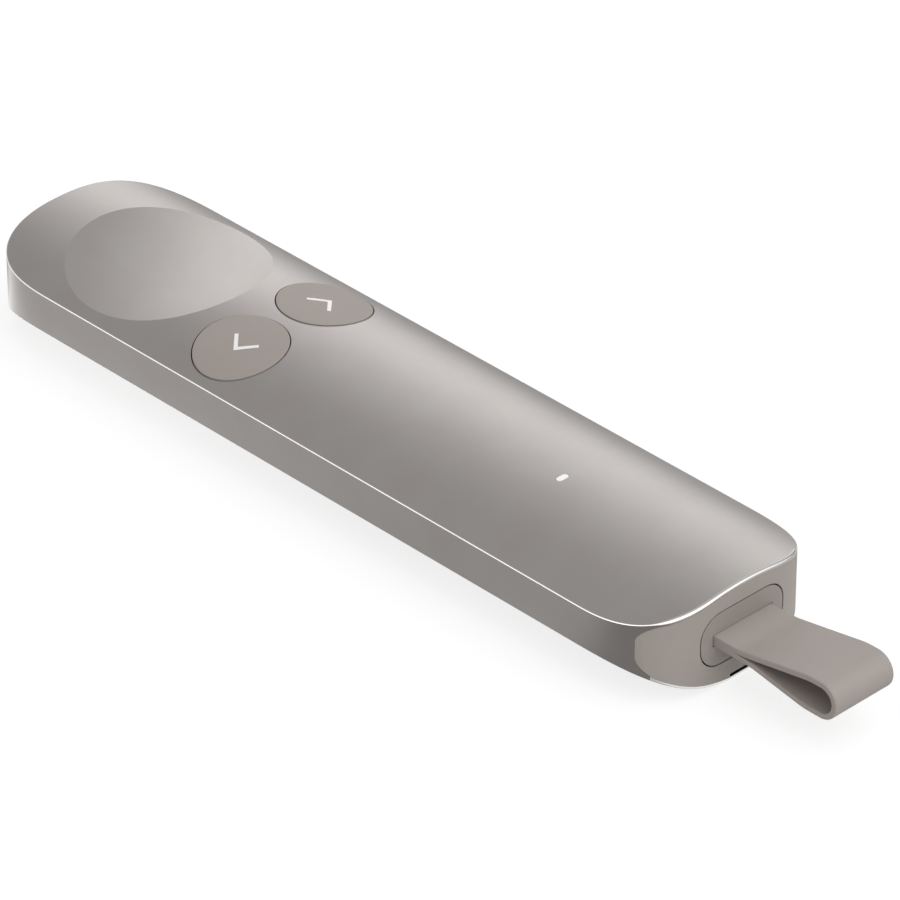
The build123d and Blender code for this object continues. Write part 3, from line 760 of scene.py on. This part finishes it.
def makeHousing():
    shell = bodySolid("housingShell", cuts=True)
    for material in ("blastedAlloy", "brightCut", "rolledAlloyHighlight"):
        shell.data.materials.append(finishes[material])
    room = bodySolid("room", inset=bodySize["wall"])
    combine(room, dishTool(bodySize["wall"]))
    bossZ = topZ - dishSize["depth"] - bodySize["wall"] - dishSize["bossDepth"]
    combine(room, prism(ring(0, dishY, dishSize["bossRadius"], dishSize["bossSteps"]), bossZ, topZ))
    combine(shell, room)
    combine(shell, dishTool())
    for side in (-1, 1):
        hole = ring(side * keyX, keyY, keyRadius + keySize["gap"], keySize["holeSteps"])
        combine(shell, prism(hole, keyFoot - keySize["travelRoom"], topZ + past))
    length, width = [lightSize[kind] + 2 * bodySize["seam"] for kind in ("length", "width")]
    pill = pillLoop(lightSize["y"], length, width, lightSize["steps"])
    combine(shell, prism(pill, lightSize["holeFoot"], topZ + past))
    combine(shell, capLayer(bodySize["seam"]))
    paintCuts(shell.data)
    dressNormals(shell, (
        (onCrown, crownNormal), (onDish, dishNormal), (onWall, wallNormal), (onBelly, bellyNormal),
    ))
    dress(shell, "housingShell", "chassis", ["housing"], "anodised_aluminium")


makeHousing()
print("housing made")

# Tail cap and keys

bodyLow, bodyHigh = boxOf("receiver_body")
receiverZ = (bodyLow.z + bodyHigh.z) / 2
receiverSize = {
    "width": bodyHigh.x - bodyLow.x, "height": bodyHigh.z - bodyLow.z, "corner": 2.9, "cornerSteps": 16,
    "slotSide": 0.12, "slotOver": 0.09, "slotDepth": 3.2,
    "fit": 0.06, "plugCorner": 0.63, "plugSteps": 8, "edge": 0.07, "edgeSteps": 3,
}


def makeTailCap():
    size = capSize
    tail, gap = -halfLength, size["mouthGap"]
    cap = capLayer()
    combine(cap, prism(planLoop(), -past, topZ + past), "INTERSECT")
    mouth = roundedRectangle(0, receiverZ, receiverSize["width"] + 2 * gap, receiverSize["height"] + 2 * gap,
                             receiverSize["corner"] + gap, receiverSize["cornerSteps"])
    combine(cap, prism(mouth, tail - past, tail + size["mouthDepth"], along="Y"))
    slotX, slotZ = size["slotX"] - size["slotWidth"] / 2, size["foot"] + size["slotSill"]
    slotEndX, slotEndZ = slotX + size["slotWidth"], slotZ + size["slotHeight"]
    combine(cap, block(slotX, slotEndX, tail - past, tail + size["mouthDepth"], slotZ, slotEndZ))
    low, high = receiverZ - size["armHeight"] / 2, receiverZ + size["armHeight"] / 2
    start, end = tail + size["thickness"] - size["armBite"], tail + size["thickness"] + size["armLength"]
    outer = size["armFrom"] + size["armThickness"]
    for side in (-1, 1):
        for inner, y in ((size["armFrom"], start), (size["barbFrom"], end - size["barb"])):
            x0, x1 = sorted((side * inner, side * outer))
            combine(cap, block(x0, x1, y, end, low, high), "UNION")
    rounded(cap, size["edge"], size["edgeSteps"])
    softShade(cap)
    dress(cap, "tailCap", "chassis", ["tail_cap"], "cap_plastic", "mouldedCap", "blackNylonAndSlotShade")
    # the faces inside the strap slot take the black: painted shade standing for the slot's dark depth
    room = size["slotShadeMargin"]
    for face in cap.data.polygons:
        spot = face.center / mm
        inShadedSlot = slotX - room < spot.x < slotEndX + room and slotZ - room < spot.z < slotEndZ + room
        if inShadedSlot and spot.y > tail + room:
            face.material_index = 1


def chevronPoints(side):
    half, depth, stroke = keySize["chevronHalf"], keySize["chevronDepth"], keySize["chevronStroke"]
    slope = math.atan2(half, depth)
    dx, dy = stroke * math.sin(slope), stroke * math.cos(slope)
    corners = [
        (0, 0), (depth - dx, half), (depth, half - dy), (stroke / math.sin(slope), 0),
        (depth, dy - half), (depth - dx, -half),
    ]
    return [(side * (keyX - px + depth / 2), keyY + py) for px, py in corners]


def makeKey(side, name, node, plunger, chevron, body):
    size = keySize
    bm = bmesh.new()
    x0, flat = side * keyX, keyRadius - size["rounding"]
    rows = [(flat * (k + 1) / size["rings"], 0) for k in range(size["rings"])]
    for k in range(1, size["edgeSteps"] + 1):
        a = math.pi / 2 * k / size["edgeSteps"]
        rows.append((flat + size["rounding"] * math.sin(a), size["rounding"] * (1 - math.cos(a))))
    middle = bm.verts.new((x0, keyY, crownZ(x0, -size["proud"])))
    rings = []
    for radius, drop in rows:
        places = ring(x0, keyY, radius, size["steps"])
        rings.append([bm.verts.new((x, y, crownZ(x, -size["proud"]) - drop)) for x, y in places])
    rings.append([bm.verts.new((v.co.x, v.co.y, keyFoot)) for v in rings[-1]])
    closeRings(bm, middle, rings)
    key = objectFrom(bm, name)
    half, reach = size["tabHalf"], keyRadius + size["tabReach"]
    top = crownZ(keyX + half, bodySize["wall"]) - size["tabGap"]
    combine(key, block(x0 - half, x0 + half, keyY - reach, keyY + reach, keyFoot, top), "UNION")
    stem = ring(x0, keyY, size["stemRadius"], size["stemSteps"])
    combine(key, prism(stem, boxOf(plunger)[1].z, keyFoot + size["stemRise"]), "UNION")
    combine(key, prism(chevronPoints(side), boxOf(chevron)[0].z - size["chevronBed"], topZ + past))
    softShade(key)
    dress(key, name, body, [node], "key_plastic", "mouldedKey")


# Receiver and strap. The two plies of the strap are bonded from the receiver to where they part.

strapSize = {
    "width": 9.4, "thickness": 0.72, "reach": 18.7, "offset": 0.1, "rise": 2.43, "sag": 1.67, "plyGap": 0.03,
    "kneeTop": 3.9, "kneeFoot": 5.5, "crest": 3.75, "trough": 4.55, "kneeRadius": 9.0, "root": 3.08,
    "edge": 0.17, "innerEdge": 0.05, "edgeSteps": 4, "steps": 28,
    "bondEnd": 3.3, "bondProud": 0.006, "bondOver": 0.1,
}
strapZ = receiverZ + strapSize["offset"]


def makeReceiver():
    size = receiverSize
    tail, fit = -halfLength, size["fit"]
    outline = roundedRectangle(0, receiverZ, size["width"], size["height"],
                               size["corner"], size["cornerSteps"])
    face = prism(outline, tail - past, bodyHigh.y, along="Y")
    combine(face, prism(planLoop(), -past, topZ + past), "INTERSECT")
    wide = strapSize["width"] / 2 + size["slotSide"]
    high = strapSize["thickness"] + size["slotOver"]
    combine(face, block(-wide, wide, tail - past, tail + size["slotDepth"], strapZ - high, strapZ + high))
    shellLow, shellHigh = boxOf("receiver_shell")
    seatWidth, seatHeight = shellHigh.x - shellLow.x + fit, shellHigh.z - shellLow.z + fit
    seat = roundedRectangle(0, receiverZ, seatWidth, seatHeight, size["plugCorner"], size["plugSteps"])
    combine(face, prism(seat, shellLow.y - fit, bodyHigh.y + past, along="Y"))
    rounded(face, size["edge"], size["edgeSteps"])
    softShade(face)
    dress(face, "receiverBody", "receiver", ["receiver_body"], "receiver_plastic", "mouldedReceiver")


def growWith(thing, tree, geometry, material, sizes):
    whole = addNode(tree, "GeometryNodeRealizeInstances", {"Geometry": geometry})
    dressed = addNode(tree, "GeometryNodeSetMaterial", {"Geometry": whole, "Material": material})
    addNode(tree, "NodeGroupOutput", {"Geometry": dressed})
    step = thing.modifiers.new("grow", "NODES")
    step.node_group = tree
    for socket in tree.interface.items_tree:
        if socket.in_out == "INPUT" and socket.name in sizes:
            step[socket.identifier] = sizes[socket.name]
    bake(thing)


def strapRoute():
    size = strapSize
    tail = -halfLength
    end = tail - size["reach"] + size["thickness"] / 2
    apart = (size["thickness"] + size["plyGap"]) / 2
    high, low = receiverZ + size["rise"], receiverZ - size["sag"]
    knee, bend = size["kneeRadius"], (size["rise"] + size["sag"]) / 2
    route = [
        (tail + size["root"], strapZ + apart, 0), (tail - size["kneeTop"], strapZ + apart, knee),
        (end + size["crest"], high, knee), (end, high, bend), (end, low, bend),
        (end + size["trough"], low, knee), (tail - size["kneeFoot"], strapZ - apart, knee),
        (tail + size["root"], strapZ - apart, 0),
    ]
    mesh = bpy.data.meshes.new("strapRoute")
    places = [(0, y * mm, z * mm) for y, z, _ in route]
    mesh.from_pydata(places, [(i, i + 1) for i in range(len(route) - 1)], [])
    radii = mesh.attributes.new("bend", "FLOAT", "POINT")
    radii.data.foreach_set("value", [r * mm for _, _, r in route])
    return mesh


def makeStrap():
    size = strapSize
    band = bpy.data.objects.new("strapBand", strapRoute())
    bpy.context.scene.collection.objects.link(band)
    sizes = {
        "Width": size["width"] * mm, "Thickness": size["thickness"] * mm,
        "Edge": size["edge"] * mm, "InnerEdge": size["innerEdge"] * mm,
        "Steps": size["steps"], "EdgeSteps": size["edgeSteps"],
    }
    tree = bpy.data.node_groups.new("bandAlongRoute", "GeometryNodeTree")
    tree.interface.new_socket("Geometry", in_out="OUTPUT", socket_type="NodeSocketGeometry")
    tree.interface.new_socket("Geometry", in_out="INPUT", socket_type="NodeSocketGeometry")
    for name, value in sizes.items():
        kind = "NodeSocketInt" if isinstance(value, int) else "NodeSocketFloat"
        tree.interface.new_socket(name, in_out="INPUT", socket_type=kind)
    given = addNode(tree, "NodeGroupInput").outputs
    bare = addNode(tree, "GeometryNodeMeshToCurve", {"Mesh": given["Geometry"]})
    bends = addNode(tree, "GeometryNodeInputNamedAttribute", {"Name": "bend"}, data_type="FLOAT")
    line = addNode(tree, "GeometryNodeFilletCurve", {
        "Curve": bare, "Count": given["Steps"], "Radius": bends, "Limit Radius": True,
    }, mode="POLY")
    level = addNode(tree, "GeometryNodeSetCurveNormal", {"Curve": line, "Normal": (1, 0, 0)}, mode="FREE")
    flat = addNode(tree, "GeometryNodeCurvePrimitiveQuadrilateral", {
        "Width": given["Width"], "Height": given["Thickness"],
    })
    # the section's first two corners, 0 and 1, lie on the outside of the band
    corner = addNode(tree, "GeometryNodeInputIndex")
    outer = addNode(tree, "FunctionNodeCompare", {"A": corner, "B": 1.5}, operation="LESS_THAN")
    edge = addNode(tree, "GeometryNodeSwitch", {
        "Switch": outer, "False": given["InnerEdge"], "True": given["Edge"],
    }, input_type="FLOAT")
    section = addNode(tree, "GeometryNodeFilletCurve", {
        "Curve": flat, "Count": given["EdgeSteps"], "Radius": edge,
    }, mode="POLY")
    swept = addNode(tree, "GeometryNodeCurveToMesh", {
        "Curve": level, "Profile Curve": section, "Fill Caps": True,
    })
    growWith(band, tree, swept, finishes["siliconeBand"], sizes)
    tail = -halfLength
    half, high = size["width"] / 2 + size["bondProud"], size["thickness"] / 2
    start, end = tail - size["bondEnd"], tail + size["root"] + size["bondOver"]
    combine(band, block(-half, half, start, end, strapZ - high, strapZ + high), "UNION")
    softShade(band)
    dress(band, "strapBand", "receiver", ["strap"], "strap_rubber", "siliconeBand")


makeTailCap()
makeKey(-1, "backKey", "back_button", "back_plunger", "back_chevron", "back_key")
makeKey(1, "nextKey", "next_button", "next_plunger", "next_chevron", "next_key")
makeReceiver()
makeStrap()
print("cap, keys, receiver and strap made")

cadFinishes = {
    "whiteInlay": ["back_chevron", "next_chevron", "status_led", "antenna_chip"],
    "milkyPipe": ["light_pipe"],
    "blackNylonAndSlotShade": [
        "back_plunger", "next_plunger", "switch_cases", "inner_frame", "receiver_bay", "charge_port_tongue",
        "receiver_carrier", "radio_chip", "power_chip", "receiver_chip",
    ],
    "stampedSteel": [
        "switch_domes", "key_board_screws", "main_board_screws", "bay_screws", "battery_tabs", "shield_can",
        "haptic_motor", "charge_port_shell", "receiver_shell", "strap_pins",
    ],
    "solderMask": ["key_board", "main_board", "receiver_board"],
    "polyimide": ["link_flex", "sensor_flex", "pointer_sensor"],
    "foilPouch": ["battery"],
    "openFoam": ["battery_pad"],
    "goldPlate": ["receiver_contacts"],
}
for finishName, nodeNames in cadFinishes.items():
    for nodeName in nodeNames:
        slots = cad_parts[nodeName].data.materials
        slots.clear()
        slots.append(finishes[finishName])
print("frame pieces finished")
